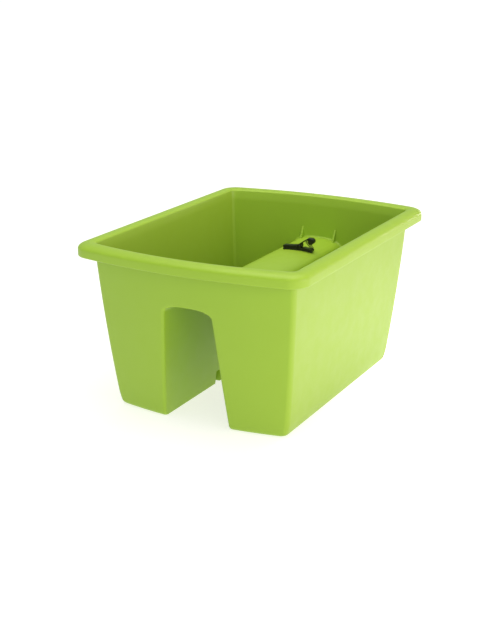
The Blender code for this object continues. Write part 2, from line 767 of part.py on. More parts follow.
# ------------------------------------------------------------------ assembly
def main():
    clear_scene()
    parts = make_collection("self_watering_planter")
    cutters = make_collection("cutters")
    lime = material("lime_polypropylene", (0.42, 0.60, 0.06), 0.55)
    grey = material("grey_polypropylene", (0.10, 0.11, 0.11), 0.6)
    white = material("white_foam", (0.85, 0.85, 0.82), 0.7)
    red = material("red_polypropylene", (0.65, 0.05, 0.03), 0.45)
    rubber = material("green_rubber", (0.13, 0.24, 0.03), 0.7)
    black = material("black_nylon", (0.012, 0.012, 0.011), 0.45)
    steel = material("black_steel", (0.05, 0.05, 0.05), 0.3, 1.0)

    make_pot(parts, cutters, lime)
    for word, side in (("left", -1), ("right", 1)):
        make_deck(f"reservoir_deck_{word}", side, parts, cutters, grey)
        for place_word, y in zip(("front", "back"), BASKET_Y):
            make_basket(f"wicking_basket_{place_word}_{word}", side, y, parts, cutters, grey)
        make_tube(f"filler_tube_{word}", side, parts, cutters, grey)
        make_float(f"gauge_float_{word}", side, parts, white)
        make_rod(f"gauge_rod_{word}", side, parts, red)
        make_cap(f"filler_cap_{word}", side, parts, grey)
        make_plug(f"drain_plug_{word}", side, parts, rubber)

    frame = bpy.data.objects.new("clip_pivot_frame", None)
    parts.objects.link(frame)
    frame.location = CLIP_PIVOT
    frame.rotation_euler = (0, 0, CLIP_YAW)
    make_lower_lever(frame, parts, cutters, black)
    make_upper_lever(frame, parts, cutters, black)
    make_pin(frame, parts, steel)
    make_wire_spring(frame, parts, steel)


main()
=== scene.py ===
import math

import bmesh
import bpy
from mathutils import Matrix, Vector


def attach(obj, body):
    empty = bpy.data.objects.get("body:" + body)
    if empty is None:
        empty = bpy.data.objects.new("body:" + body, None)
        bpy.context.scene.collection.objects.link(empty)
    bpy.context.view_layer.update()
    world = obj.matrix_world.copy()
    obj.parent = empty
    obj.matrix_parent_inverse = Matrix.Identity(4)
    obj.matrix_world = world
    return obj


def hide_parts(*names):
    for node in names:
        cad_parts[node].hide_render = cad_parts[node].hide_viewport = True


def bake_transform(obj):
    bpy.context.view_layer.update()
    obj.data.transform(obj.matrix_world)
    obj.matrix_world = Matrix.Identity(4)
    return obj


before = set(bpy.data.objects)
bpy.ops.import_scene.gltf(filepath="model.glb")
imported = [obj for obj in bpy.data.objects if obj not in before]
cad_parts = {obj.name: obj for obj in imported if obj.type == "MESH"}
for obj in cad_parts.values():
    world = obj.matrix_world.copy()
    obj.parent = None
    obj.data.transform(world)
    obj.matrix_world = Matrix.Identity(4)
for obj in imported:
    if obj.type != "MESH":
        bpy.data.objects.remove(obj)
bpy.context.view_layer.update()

# Pot, in metres: X across the rail channel, Y along it, Z up from the feet
HEIGHT = 0.200
WALL = 0.003
GAP = 0.0003
HALF_X_FOOT, HALF_X_GROWTH, HALF_X_BULGE = 0.1103, 0.0171, 0.0076
HALF_Y_FOOT, HALF_Y_GROWTH, HALF_Y_BULGE = 0.1425, 0.0194, 0.0047
BOW_FOOT, BOW_TOP = 0.0117, 0.0159
HEEL_TUCK, HEEL_HEIGHT = 0.0024, 0.0205
CORNER_RADIUS = 0.007
FOOT_ROUND_OUTER, FOOT_ROUND_CHANNEL = 0.006, 0.002
CAVITY_ROUND_OUTER, CAVITY_ROUND_CHANNEL = 0.004, 0.002
CHANNEL_HALF_FOOT, CHANNEL_TAPER = 0.0414, 0.0865
CHANNEL_SPRING_HEIGHT, CHANNEL_CROWN, CHANNEL_SQUARENESS = 0.1315, 0.0108, 2.75
MOUTH_ROUND_SIDE, MOUTH_ROUND_TOP = 0.0042, 0.0025
SHOULDER_HEIGHT = 0.150
NICHE_Y, NICHE_HALF_LENGTH, NICHE_HEIGHT, NICHE_DEPTH = 0.030, 0.006, 0.0165, 0.0062
NICHE_SLOPE, NICHE_CORNER = 0.0008, 0.0012
GUSSET_X, GUSSET_THICKNESS, GUSSET_REACH = 0.0233, 0.0024, 0.0085
GUSSET_FOOT_Z, GUSSET_TOP_Z = 0.139, 0.158
RIM_HALF_X, RIM_HALF_Y, RIM_BOW, RIM_CORNER = 0.1253, 0.1605, 0.0158, 0.008
RIM_CREST, RIM_LIP, RIM_DROP, RIM_LIP_BOTTOM = 0.0075, 0.0185, 0.0065, 0.1852

# Reservoir parts
DECK_Z, DECK_THICKNESS, DECK_CLEARANCE = 0.050, 0.0025, 0.001
POST_RADIUS, POST_X, POST_Y = 0.0035, (0.052, 0.099), (-0.100, 0.126)
LEG_CENTRE_X = 0.0765
BASKET_Y = (-0.060, 0.080)
BASKET_TOP_RADIUS, BASKET_FOOT_RADIUS, BASKET_FOOT_Z, BASKET_WALL = 0.021, 0.015, 0.006, 0.0018
SLOT_Y = (-0.022, -0.010, 0.002, 0.014, 0.026, 0.038, 0.114, 0.124)
SLOT_LENGTH, SLOT_WIDTH = 0.040, 0.004
TUBE_X, TUBE_Y = 0.084, -0.124
TUBE_RADIUS, TUBE_BORE, TUBE_MOUTH_RADIUS = 0.013, 0.0115, 0.015
TUBE_FOOT_Z, TUBE_TOP_Z, CAP_TOP_Z = 0.007, 0.164, 0.167
FLOAT_RADIUS, FLOAT_FOOT_Z, FLOAT_HEIGHT, ROD_RADIUS = 0.010, 0.0045, 0.022, 0.0015
DRAIN_Z, DRAIN_RADIUS, DRAIN_FLANGE = 0.0085, 0.0033, 0.0046
OVERFLOW_Y, OVERFLOW_Z, OVERFLOW_RADIUS = 0.060, 0.046, 0.0035

# Spring clip
CLIP_PIVOT = Vector((0.0066, 0.1003, 0.1514))
CLIP_YAW, CLIP_RISE = math.radians(5), math.radians(33.8)
CLIP_JAW, CLIP_HALF_WIDTH = 0.0223, 0.004
PIN_RADIUS, KNUCKLE_RADIUS, EAR_RADIUS, EAR_Y, EAR_HALF = 0.001, 0.0022, 0.0026, 0.0033, 0.0007
GRIP_X, GRIP_Z, GRIP_RADIUS = 0.0153, 0.0067, 0.0037
WIRE_RADIUS = 0.0005
WIRE_TOP, WIRE_FOOT, WIRE_PITCH = (0.0083, 0.0061), (0.0164, -0.00285), 0.0034


# ------------------------------------------------------------------ camera, light, floor
def make_camera():
    """Front right corner view from above."""
    azimuth, elevation = math.radians(28.2663), math.radians(18.0984)
    back = Vector((
        math.sin(azimuth) * math.cos(elevation),
        -math.cos(azimuth) * math.cos(elevation),
        math.sin(elevation),
    ))
    data = bpy.data.cameras.new("camera")
    data.lens = 67.81
    data.sensor_width = 36
    camera = bpy.data.objects.new("camera", data)
    camera.location = (0.63809, -1.21669, 0.53617)
    camera.rotation_euler = back.to_track_quat("Z", "Y").to_euler()
    bpy.context.scene.collection.objects.link(camera)
    bpy.context.scene.camera = camera


def area_light(name, location, target, size, power, colour=(1, 1, 1)):
    data = bpy.data.lights.new(name, "AREA")
    data.shape = "RECTANGLE"
    data.size, data.size_y = size
    data.energy = power
    data.color = colour
    light = bpy.data.objects.new(name, data)
    light.location = location
    direction = Vector(location) - Vector(target)
    light.rotation_euler = direction.to_track_quat("Z", "Y").to_euler()
    light.visible_camera = False
    bpy.context.scene.collection.objects.link(light)


def remap(tree, value, low, high, to_low, to_high, interpolation="LINEAR"):
    """Change from to_low to to_high while value goes from low to high."""
    node = tree.nodes.new("ShaderNodeMapRange")
    node.interpolation_type = interpolation
    node.inputs["From Min"].default_value = low
    node.inputs["From Max"].default_value = high
    node.inputs["To Min"].default_value = to_low
    node.inputs["To Max"].default_value = to_high
    tree.links.new(value, node.inputs["Value"])
    return node.outputs["Result"]


def glow_spot(tree, place, centre, near, far, inside, outside):
    """Painted light: glow that changes with the distance from a point on the floor."""
    away = tree.nodes.new("ShaderNodeVectorMath")
    away.operation = "DISTANCE"
    away.inputs[1].default_value = centre
    tree.links.new(place, away.inputs[0])
    return remap(tree, away.outputs["Value"], near, far, inside, outside, "SMOOTHSTEP")


def glowing_floor_light():
    """White studio floor whose glow is painted light: it lifts the contact shadow and is strongest in pools
    on the right of the object and behind it.
    """
    mat, shader, tree = new_material("glowing_floor_light")
    place = tree.nodes.new("ShaderNodeTexCoord").outputs["Object"]
    # painted light: an overall glow that keeps the floor white and washes out the contact shadow
    glow = glow_spot(tree, place, (0, 0, 0), 0.6, 2.6, 0.72, 0.86)
    # painted light: two pools of glow, behind the object on the right and to its right, light the pot like
    # lamps
    spots = (((0.14, 0.34, 0), 0.10, 0.45, 0.70), ((0.42, -0.10, 0), 0.05, 0.35, 0.95))
    for centre, near, far, strength in spots:
        total = tree.nodes.new("ShaderNodeMath")
        total.operation = "ADD"
        tree.links.new(glow, total.inputs[0])
        tree.links.new(glow_spot(tree, place, centre, near, far, strength, 0), total.inputs[1])
        glow = total.outputs["Value"]
    shader.inputs["Base Color"].default_value = (0.45, 0.45, 0.45, 1)
    shader.inputs["Roughness"].default_value = 0.9
    shader.inputs["Emission Color"].default_value = (1, 0.98, 0.94, 1)
    tree.links.new(glow, shader.inputs["Emission Strength"])
    return mat


def make_studio():
    scene = bpy.context.scene
    scene.view_settings.view_transform = "Standard"
    world = bpy.data.worlds.new("studio")
    scene.world = world
    world.use_nodes = True
    background = world.node_tree.nodes["Background"]
    background.inputs["Color"].default_value = (0.87, 0.99, 1.14, 1)
    background.inputs["Strength"].default_value = 0.41
    middle = (0, 0, 0.1)
    area_light("top", (0, 0, 1.8), middle, (1.6, 1.6), 27, (1, 0.94, 0.75))
    area_light("key_right", (1.6, 0, 0.5), middle, (1.2, 0.8), 10, (0.9, 0.6, 1))
    area_light("back_low", (0.25, 1.5, 0.2), (0, 0.1, 0.08), (0.7, 0.3), 5.2, (1, 0.85, 0.8))
    area_light("front_right", (1.2, -1.6, 0.8), middle, (1.4, 1.2), 9.2, (0.87, 1, 0.4))
    bm = bmesh.new()
    bmesh.ops.create_grid(bm, x_segments=1, y_segments=1, size=18)
    floor = object_from_bmesh("floor", bm)
    floor.data.materials.append(glowing_floor_light())


# ------------------------------------------------------------------ mesh helpers
def object_from_bmesh(name, bm):
    mesh = bpy.data.meshes.new(name)
    bm.to_mesh(mesh)
    bm.free()
    obj = bpy.data.objects.new(name, mesh)
    bpy.context.scene.collection.objects.link(obj)
    return obj


def smooth(obj, angle=35):
    obj.data.shade_smooth()
    obj.data.set_sharp_from_angle(angle=math.radians(angle))


def apply_modifiers(obj):
    graph = bpy.context.evaluated_depsgraph_get()
    mesh = bpy.data.meshes.new_from_object(obj.evaluated_get(graph), depsgraph=graph)
    obj.modifiers.clear()
    obj.data = mesh
    return obj


def add_boolean(obj, other, operation):
    mod = obj.modifiers.new(other.name, "BOOLEAN")
    mod.operation = operation
    mod.solver = "EXACT"
    mod.object = other


def shape_with(obj, tools):
    """Apply (tool, operation) booleans to obj and remove the tools."""
    for tool, operation in tools:
        add_boolean(obj, tool, operation)
    apply_modifiers(obj)
    for tool, _ in tools:
        bpy.data.objects.remove(tool)
    return obj


def bevel(obj, width, segments=3, angle=35):
    mod = obj.modifiers.new("bevel", "BEVEL")
    mod.width = width
    mod.segments = segments
    mod.limit_method = "ANGLE"
    mod.angle_limit = math.radians(angle)
    mod.use_clamp_overlap = True
    return apply_modifiers(obj)


def rod_tool(centre, radius, length, axis, segments=48):
    bm = bmesh.new()
    bmesh.ops.create_cone(
        bm, cap_ends=True, segments=segments, radius1=radius, radius2=radius, depth=length
    )
    turn = Vector((0, 0, 1)).rotation_difference(Vector(axis)).to_matrix()
    bmesh.ops.rotate(bm, cent=(0, 0, 0), matrix=turn, verts=bm.verts)
    bmesh.ops.translate(bm, vec=centre, verts=bm.verts)
    return object_from_bmesh("tool", bm)


def slot_tool(centre, length, width, depth, turn=Matrix.Identity(3)):
    """Slot with round ends, long axis X, cutting along Z before it is turned."""
    bm = bmesh.new()
    points = []
    for end in (1, -1):
        for step in range(13):
            angle = math.pi * step / 12 - math.pi / 2
            x = end * ((length - width) / 2 + math.cos(angle) * width / 2)
            points.append((x, end * math.sin(angle) * width / 2, -depth / 2))
    face = bm.faces.new([bm.verts.new(p) for p in points])
    top = bmesh.ops.extrude_face_region(bm, geom=[face])["geom"]
    moved = [item for item in top if isinstance(item, bmesh.types.BMVert)]
    bmesh.ops.translate(bm, vec=(0, 0, depth), verts=moved)
    bmesh.ops.recalc_face_normals(bm, faces=bm.faces)
    bmesh.ops.rotate(bm, cent=(0, 0, 0), matrix=turn, verts=bm.verts)
    bmesh.ops.translate(bm, vec=centre, verts=bm.verts)
    return object_from_bmesh("tool", bm)


def turned(name, profile, centre, segments=72):
    """Closed (radius, z) profile spun around a vertical axis through centre."""
    bm = bmesh.new()
    verts = [bm.verts.new((r, 0, z)) for r, z in profile]
    edges = [bm.edges.new(pair) for pair in zip(verts, verts[1:])]
    if profile[0][0] > 0 and profile[-1][0] > 0:
        edges.append(bm.edges.new((verts[-1], verts[0])))
    bmesh.ops.spin(bm, geom=verts + edges, cent=(0, 0, 0), axis=(0, 0, 1), angle=math.tau, steps=segments)
    bmesh.ops.remove_doubles(bm, verts=bm.verts, dist=0.000005)
    bmesh.ops.dissolve_degenerate(bm, edges=bm.edges, dist=0.000001)
    bmesh.ops.recalc_face_normals(bm, faces=bm.faces)
    bmesh.ops.translate(bm, vec=centre, verts=bm.verts)
    return object_from_bmesh(name, bm)


def rounded(profile, radius, steps=4):
    """Replace each corner of a closed (x, z) outline by an arc, as large as its sides allow."""
    result = []
    count = len(profile)
    for i, corner in enumerate(profile):
        here = Vector(corner)
        before, after = Vector(profile[i - 1]) - here, Vector(profile[(i + 1) % count]) - here
        on_axis = corner[0] == 0
        angle = before.angle(after) if before.length and after.length else math.pi
        if on_axis or angle > math.radians(170):
            result.append(corner)
            continue
        reach = min(radius / math.tan(angle / 2), before.length * 0.45, after.length * 0.45)
        start, end = here + before.normalized() * reach, here + after.normalized() * reach
        for step in range(steps + 1):
            t = step / steps
            point = start * (1 - t) ** 2 + here * 2 * t * (1 - t) + end * t ** 2
            result.append((point.x, point.y))
    return result


def extruded(name, outline, half_width):
    """Closed (x, z) outline, extruded along Y from -half_width to +half_width."""
    bm = bmesh.new()
    face = bm.faces.new([bm.verts.new((x, -half_width, z)) for x, z in outline])
    far = bmesh.ops.extrude_face_region(bm, geom=[face])["geom"]
    moved = [item for item in far if isinstance(item, bmesh.types.BMVert)]
    bmesh.ops.translate(bm, vec=(0, 2 * half_width, 0), verts=moved)
    bmesh.ops.recalc_face_normals(bm, faces=bm.faces)
    return object_from_bmesh(name, bm)


def finish_piece(obj, body, slot, mat, *nodes):
    obj.data.materials.clear()
    obj.data.materials.append(mat)
    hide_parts(*nodes)
    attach(obj, body)
    return obj


# ------------------------------------------------------------------ pot: wall formulas
def half_x(z):
    t = z / HEIGHT
    heel = max(0.0, 1.0 - z / HEEL_HEIGHT)
    return HALF_X_FOOT + HALF_X_GROWTH * t + HALF_X_BULGE * t * (1 - t) - HEEL_TUCK * heel ** 2


def half_y(z):
    t = z / HEIGHT
    return HALF_Y_FOOT + HALF_Y_GROWTH * t + HALF_Y_BULGE * t * (1 - t)


def bow(z):
    return BOW_FOOT + (BOW_TOP - BOW_FOOT) * z / HEIGHT


def channel_half(z):
    return CHANNEL_HALF_FOOT - CHANNEL_TAPER * z


def round_inset(z, floor, radius):
    """How far a foot edge of the given radius pulls in at height z."""
    below = max(0.0, floor + radius - z)
    return radius - math.sqrt(max(0.0, radius ** 2 - below ** 2))


def spread(first, last, steps):
    return [first + (last - first) * i / steps for i in range(steps + 1)]


def smoothstep(t):
    t = min(1.0, max(0.0, t))
    return t * t * (3 - 2 * t)


class Section:
    """A horizontal outline: straight long sides, bowed ends and rounded corners."""

    END_STEPS, CORNER_STEPS, SIDE_STEPS = 12, 12, 16

    def __init__(self, a, b, s, corner):
        self.a, self.b, self.s, self.corner = a, b, s, corner
        self.bend_x = a - corner
        for _ in range(6):
            self.turn = math.atan(2 * s * self.bend_x / a ** 2)
            self.bend_x = a - corner * (1 - math.sin(self.turn))

    def end_y(self, x):
        return self.b + self.s * (1 - (x / self.a) ** 2)

    def strip(self, start_x):
        """Right-hand part of the outline, front to back, from x = start_x."""
        front = [(x, -self.end_y(x)) for x in spread(start_x, self.bend_x, self.END_STEPS)]
        cx = self.bend_x - self.corner * math.sin(self.turn)
        cy = self.end_y(self.bend_x) - self.corner * math.cos(self.turn)
        for step in range(1, self.CORNER_STEPS + 1):
            angle = self.turn + (math.pi / 2 - self.turn) * step / self.CORNER_STEPS
            front.append((cx + self.corner * math.sin(angle), -cy - self.corner * math.cos(angle)))
        side = [(self.a, y) for y in spread(-cy, cy, self.SIDE_STEPS)][1:-1]
        return front + side + [(x, -y) for x, y in reversed(front)]


class Skin:
    """One face of the pot's wall, offset inwards, shaped like a pair of trousers."""

    ARCH_STEPS, MOUTH_STEPS, FOOT_STEPS, SHOULDER_STEPS = 40, 8, 8, 6

    def __init__(self, offset, floor, foot_outer, foot_channel, corner, niche_extra):
        self.offset, self.floor = offset, floor
        self.foot_outer, self.foot_channel = foot_outer, foot_channel
        self.corner, self.niche_extra = corner, niche_extra
        self.spring = CHANNEL_SPRING_HEIGHT
        self.crown = CHANNEL_CROWN + offset
        self.shoulder = SHOULDER_HEIGHT + offset

    def section(self, z):
        inset = self.offset + round_inset(z, self.floor, self.foot_outer)
        return Section(half_x(z) - inset, half_y(z) - inset, bow(z), self.corner)

    def channel(self, z):
        return channel_half(z) + self.offset + round_inset(z, self.floor, self.foot_channel)

    def leg_rows(self):
        turns = [math.pi / 2 * i / self.FOOT_STEPS for i in range(self.FOOT_STEPS + 1)]
        foot = [self.floor + self.foot_outer * (1 - math.cos(turn)) for turn in turns]
        niche_top = NICHE_HEIGHT + self.niche_extra
        edge = spread(foot[-1], niche_top - NICHE_CORNER, 2)[1:]
        edge += spread(edge[-1], niche_top + NICHE_SLOPE, 10)[1:]
        return foot + edge + spread(edge[-1], self.spring, 18)[1:]

    def outline(self):
        """Channel outline and outward normals, left foot to crown to right foot."""
        rows = self.leg_rows()
        power = 2 / CHANNEL_SQUARENESS
        arch = []
        for step in range(1, self.ARCH_STEPS):
            angle = math.pi * step / self.ARCH_STEPS
            side = math.copysign(abs(math.cos(angle)) ** power, math.cos(angle))
            z = self.spring + self.crown * math.sin(angle) ** power
            arch.append((-self.channel(z) * side, z))
        points = [(-self.channel(z), z) for z in rows] + arch
        points += [(self.channel(z), z) for z in reversed(rows)]
        first, last = len(rows) - 1, len(points) - len(rows)
        normals = []
        for i, (x, z) in enumerate(points):
            if i <= first or i >= last:
                normals.append((math.copysign(1, x), 0.0))
                continue
            dx = points[i + 1][0] - points[i - 1][0]
            dz = points[i + 1][1] - points[i - 1][1]
            length = math.hypot(dx, dz)
            normals.append((-dz / length, dx / length))
        return points, normals

    def niche(self, y, z):
        """Depth of the two small niches low in the channel wall."""
        across = max(0.0, abs(abs(y) - NICHE_Y) - (NICHE_HALF_LENGTH + self.niche_extra - NICHE_CORNER))
        above = max(0.0, z - (NICHE_HEIGHT + self.niche_extra - NICHE_CORNER))
        outside = math.hypot(across, above) - NICHE_CORNER
        return NICHE_DEPTH * smoothstep(1.0 - outside / NICHE_SLOPE)

    def tunnel_row(self, x, z, nx, nz):
        """Points along the channel at one outline point, front mouth to back mouth."""
        mouth = MOUTH_ROUND_SIDE * nx ** 2 + MOUTH_ROUND_TOP * nz ** 2
        front = []
        for step in range(self.MOUTH_STEPS + 1):
            angle = math.pi / 2 * step / self.MOUTH_STEPS
            reach = mouth * (1 - math.sin(angle))
            px, pz = x + nx * reach, z + nz * reach
            y = self.section(pz).end_y(px) - mouth * (1 - math.cos(angle))
            front.append((px, -y, pz))
        outer = NICHE_HALF_LENGTH + self.niche_extra + NICHE_SLOPE
        inner = outer - NICHE_SLOPE - NICHE_CORNER
        stops = spread(front[-1][1], -NICHE_Y - outer, 12)[1:]
        stops += spread(-NICHE_Y - outer, -NICHE_Y - inner, 8)[1:]
        stops += spread(-NICHE_Y - inner, -NICHE_Y + inner, 2)[1:]
        stops += spread(-NICHE_Y + inner, -NICHE_Y + outer, 8)[1:]
        stops += spread(-NICHE_Y + outer, 0, 3)[1:]
        stops += [-y for y in reversed(stops[:-1])]
        middle = [(x + math.copysign(self.niche(y, z), x), y, z) for y in stops[:-1]]
        return front + middle + [(px, -y, pz) for px, y, pz in reversed(front)]

    def patches(self):
        """Grids of points that make up the skin, its two foot loops and its top bridge."""
        rows = self.leg_rows()
        points, normals = self.outline()
        tunnel = [self.tunnel_row(*p, *n) for p, n in zip(points, normals)]
        legs = []
        for z in rows:
            legs.append([(x, y, z) for x, y in self.section(z).strip(self.channel(z) + MOUTH_ROUND_SIDE)])
        first, last = len(rows) - 1, len(points) - len(rows)
        arch = [(row[0][0], row[0][2]) for row in tunnel[first:last + 1]]
        width = arch[-1][0]
        top = [(x, self.shoulder) for x in spread(-width, width, len(arch) - 1)]
        fronts, shoulders = [], []
        for level in range(self.SHOULDER_STEPS + 1):
            share = level / self.SHOULDER_STEPS
            line = [tuple(a + (b - a) * share for a, b in zip(p, q)) for p, q in zip(arch, top)]
            fronts.append([(x, -self.section(z).end_y(x), z) for x, z in line])
            x, z = line[-1]
            shoulders.append([(px, py, z) for px, py in self.section(z).strip(x)])
        grids = [tunnel]
        for grid in (legs, shoulders, fronts):
            grids.append(grid)
            grids.append([[(-x, -y, z) for x, y, z in row] for row in grid])
        foot = legs[0] + list(reversed(tunnel[-1]))
        return grids, [foot, [(-x, -y, z) for x, y, z in foot]], [x for x, _ in top]


def outer_skin():
    return Skin(0.0, 0.0, FOOT_ROUND_OUTER, FOOT_ROUND_CHANNEL, CORNER_RADIUS, 0.0)


def inner_skin(clearance=0.0):
    corner = CORNER_RADIUS - 0.002
    return Skin(WALL + clearance, WALL, CAVITY_ROUND_OUTER, CAVITY_ROUND_CHANNEL, corner, WALL)


def full_ring(section, z, across):
    """Closed outline at height z; across holds the x positions over the channel."""
    half = [(x, -section.end_y(x)) for x in across[:-1]] + section.strip(across[-1])[:-1]
    return [(x, y, z) for x, y in half] + [(-x, -y, z) for x, y in half]


def rim_section(out):
    return Section(RIM_HALF_X + out, RIM_HALF_Y + out, RIM_BOW, RIM_CORNER + 0.82 * max(out, 0.0))


def elliptic(cx, cz, rx, rz, start, stop, steps):
    """Elliptic arc as (out, z) points; angle 0 is straight up, 90 straight out."""
    turns = [math.radians(angle) for angle in spread(start, stop, steps)]
    return [(cx + rx * math.sin(turn), cz + rz * math.cos(turn)) for turn in turns]


def rim_profile():
    """Rim cross-section, from the outer wall round the hanging lip to the inner wall."""
    crest_z, lip_half = HEIGHT - RIM_DROP, WALL / 2
    inner_rise = 0.0035
    fillet = elliptic(0.0035, HEIGHT - WALL - 0.0015, -0.0015, 0.0015, 90, 0, 4)
    under = elliptic(RIM_CREST, crest_z - WALL, RIM_LIP - WALL - RIM_CREST, RIM_DROP, 0, 90, 12)
    foot = elliptic(RIM_LIP - lip_half, RIM_LIP_BOTTOM + lip_half, lip_half, lip_half, 270, 90, 12)
    over = elliptic(RIM_CREST, crest_z, RIM_LIP - RIM_CREST, RIM_DROP, 90, 0, 16)
    inner = elliptic(RIM_CREST, crest_z + inner_rise, RIM_CREST, RIM_DROP - inner_rise, 0, -90, 12)[1:]
    return fillet + under + foot + over + inner


def add_grid(bm, rows, flip):
    verts = [[bm.verts.new(p) for p in row] for row in rows]
    for low, high in zip(verts, verts[1:]):
        for i in range(len(low) - 1):
            face = [low[i], low[i + 1], high[i + 1], high[i]]
            bm.faces.new(reversed(face) if flip else face)


def add_skin(bm, skin, flip):
    """Add one skin below its shoulder; returns its x positions over the channel."""
    grids, feet, across = skin.patches()
    for rows in grids:
        add_grid(bm, rows, flip)
    for loop in feet:
        distinct = [p for i, p in enumerate(loop) if (Vector(p) - Vector(loop[i - 1])).length > 1e-6]
        bm.faces.new([bm.verts.new(p) for p in distinct])
    return across


def pot_mesh():
    bm = bmesh.new()
    outer, inner = outer_skin(), inner_skin()
    outer_across = add_skin(bm, outer, False)
    inner_across = add_skin(bm, inner, True)
    rings = []
    for z in spread(SHOULDER_HEIGHT, HEIGHT - WALL - 0.003, 8):
        rings.append(full_ring(outer.section(z), z, outer_across))
    for out, z in rim_profile():
        rings.append(full_ring(rim_section(out), z, outer_across))
    for z in spread(0.190, SHOULDER_HEIGHT + WALL, 8):
        rings.append(full_ring(inner.section(z), z, inner_across))
    add_grid(bm, [ring + ring[:1] for ring in rings], False)
    bmesh.ops.remove_doubles(bm, verts=bm.verts, dist=0.00001)
    bmesh.ops.dissolve_degenerate(bm, edges=bm.edges, dist=0.000001)
    bmesh.ops.recalc_face_normals(bm, faces=bm.faces)
    return bm


def gusset_tool(side, end):
    """Rib between the hump and an end wall, with eased edges."""
    skin, x = inner_skin(), side * GUSSET_X
    foot_y, top_y = (skin.section(z).end_y(x) for z in (GUSSET_FOOT_Z, GUSSET_TOP_Z))
    outline = [
        (end * (foot_y - GUSSET_REACH), GUSSET_FOOT_Z),
        (end * (foot_y + WALL / 2), GUSSET_FOOT_Z),
        (end * (top_y + WALL / 2), GUSSET_TOP_Z),
        (end * (top_y - 0.001), GUSSET_TOP_Z),
    ]
    rib = extruded("tool", outline, GUSSET_THICKNESS / 2)
    rib.data.transform(Matrix.Rotation(math.pi / 2, 4, "Z"))
    rib.data.transform(Matrix.Translation((x, 0, 0)))
    return bevel(rib, 0.0006, 2)


def make_pot(mat):
    pot = object_from_bmesh("pot_shell", pot_mesh())
    tools = []
    for side in (-1, 1):
        for end in (-1, 1):
            tools.append((gusset_tool(side, end), "UNION"))
        x = side * (CHANNEL_HALF_FOOT + NICHE_DEPTH)
        tools.append((rod_tool((x, NICHE_Y, DRAIN_Z), DRAIN_RADIUS, 0.016, (1, 0, 0)), "DIFFERENCE"))
        x = side * (channel_half(OVERFLOW_Z) + WALL / 2)
        overflow = rod_tool((x, OVERFLOW_Y, OVERFLOW_Z), OVERFLOW_RADIUS, 0.012, (1, 0, 0))
        tools.append((overflow, "DIFFERENCE"))
    shape_with(pot, tools)
    smooth(pot)
    return finish_piece(pot, "planter", "pot", mat, "planter_pot")


# ------------------------------------------------------------------ reservoir parts
def plate(outline, z, thickness):
    """Flat closed (x, y) outline raised to a thickness."""
    bm = bmesh.new()
    face = bm.faces.new([bm.verts.new((x, y, z)) for x, y in outline])
    top = bmesh.ops.extrude_face_region(bm, geom=[face])["geom"]
    moved = [item for item in top if isinstance(item, bmesh.types.BMVert)]
    bmesh.ops.translate(bm, vec=(0, 0, thickness), verts=moved)
    bmesh.ops.recalc_face_normals(bm, faces=bm.faces)
    return bm


def make_deck(word, side, mat):
    """Slotted floor over the water on four posts, with eased edges."""
    fit = inner_skin(DECK_CLEARANCE)
    near_x = fit.channel(DECK_Z)
    outline = fit.section(DECK_Z).strip(near_x + MOUTH_ROUND_SIDE)
    near_y = outline[-1][1] - MOUTH_ROUND_SIDE
    outline = [(near_x, -near_y)] + outline + [(near_x, near_y)]
    mirrored = [(side * x, y) for x, y in outline]
    deck = object_from_bmesh(f"deck_{word}", plate(mirrored, DECK_Z, DECK_THICKNESS))
    tools = []
    height = DECK_Z - WALL - GAP + DECK_THICKNESS / 2
    for x in POST_X:
        for y in POST_Y:
            centre = (side * x, y, WALL + GAP + height / 2)
            tools.append((rod_tool(centre, POST_RADIUS, height, (0, 0, 1)), "UNION"))
    for y in SLOT_Y:
        centre = (side * LEG_CENTRE_X, y, DECK_Z)
        tools.append((slot_tool(centre, SLOT_LENGTH, SLOT_WIDTH, 4 * DECK_THICKNESS), "DIFFERENCE"))
    holes = [(LEG_CENTRE_X, y, BASKET_TOP_RADIUS) for y in BASKET_Y] + [(TUBE_X, TUBE_Y, TUBE_RADIUS)]
    for x, y, radius in holes:
        tools.append((rod_tool((side * x, y, DECK_Z), radius + 2 * GAP, 0.02, (0, 0, 1), 96), "DIFFERENCE"))
    bevel(shape_with(deck, tools), 0.0004, 2)
    smooth(deck)
    finish_piece(deck, f"insert_{word}", "insert", mat, f"reservoir_deck_{word}")


def make_basket(word, place, side, y, mat):
    """Wicking basket: a slotted cup with a rounded lip."""
    flange_z = DECK_Z + DECK_THICKNESS + GAP
    profile = [
        (0, BASKET_FOOT_Z),
        (BASKET_FOOT_RADIUS, BASKET_FOOT_Z),
        (BASKET_TOP_RADIUS, flange_z),
        (BASKET_TOP_RADIUS + 0.004, flange_z),
        (BASKET_TOP_RADIUS + 0.004, flange_z + BASKET_WALL),
        (BASKET_TOP_RADIUS - BASKET_WALL, flange_z + BASKET_WALL),
        (BASKET_FOOT_RADIUS - BASKET_WALL, BASKET_FOOT_Z + BASKET_WALL),
        (0, BASKET_FOOT_Z + BASKET_WALL),
    ]
    basket = turned(f"basket_{place}_{word}", rounded(profile, 0.0008), (side * LEG_CENTRE_X, y, 0))
    window = 0.026
    tools = []
    for i in range(3):
        turn = Matrix.Rotation(math.pi / 3 * i, 3, "Z") @ Matrix.Rotation(math.pi / 2, 3, "Y")
        centre = (side * LEG_CENTRE_X, y, BASKET_FOOT_Z + 0.006 + window / 2)
        tools.append((slot_tool(centre, window, SLOT_WIDTH, 3 * BASKET_TOP_RADIUS, turn), "DIFFERENCE"))
    shape_with(basket, tools)
    smooth(basket)
    finish_piece(basket, f"insert_{word}", "insert", mat, f"wicking_basket_{place}_{word}")


